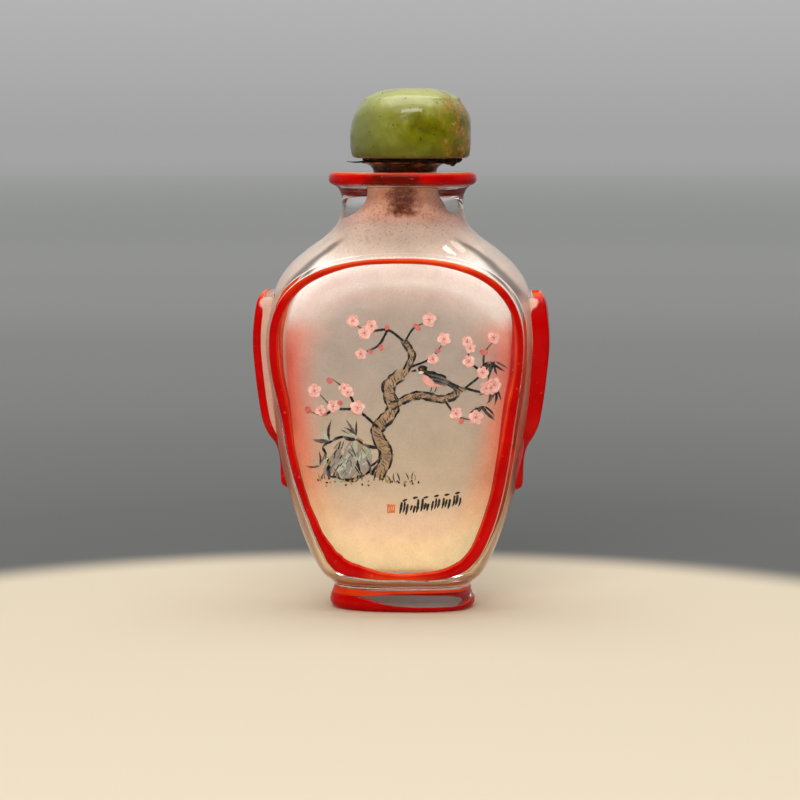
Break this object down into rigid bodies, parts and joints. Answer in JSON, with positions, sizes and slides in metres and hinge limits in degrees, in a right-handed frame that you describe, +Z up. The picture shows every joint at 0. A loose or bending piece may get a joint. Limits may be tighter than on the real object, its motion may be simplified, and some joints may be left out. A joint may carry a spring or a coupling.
{
  "type": "snuff bottle",
  "caption": "Flattened glass snuff bottle, cased in red, with raised oval panels, carved side lappets and a domed stone stopper.",
  "frame": {"origin": "middle of the foot, on the surface that the bottle stands on", "axes": "+Z up the bottle towards the stopper, +X towards the right-hand lappet seen from the front, -Y out of the front panel"},
  "size_m": [0.0498, 0.025, 0.0876],
  "materials": {
    "clear_glass": "clear, polished outside and frosted on the wall of the hollow",
    "red_glass": "polished opaque red glass, fused on the clear glass and carved",
    "paint": "brush-painted inks and watercolours on the ground wall of the hollow",
    "cork": "raw cork, darkened",
    "collar": "dark red-brown horn, polished",
    "lacquer": "black glue, lumpy",
    "green_stone": "polished opaque mottled green and russet stone"
  },
  "bodies": {
    "root": {"glass_bottle": "clear_glass", "stopper_cork": "cork", "stopper_collar": "collar", "stopper_glue": "lacquer", "stopper_cap": "green_stone"}
  },
  "joints": []
}
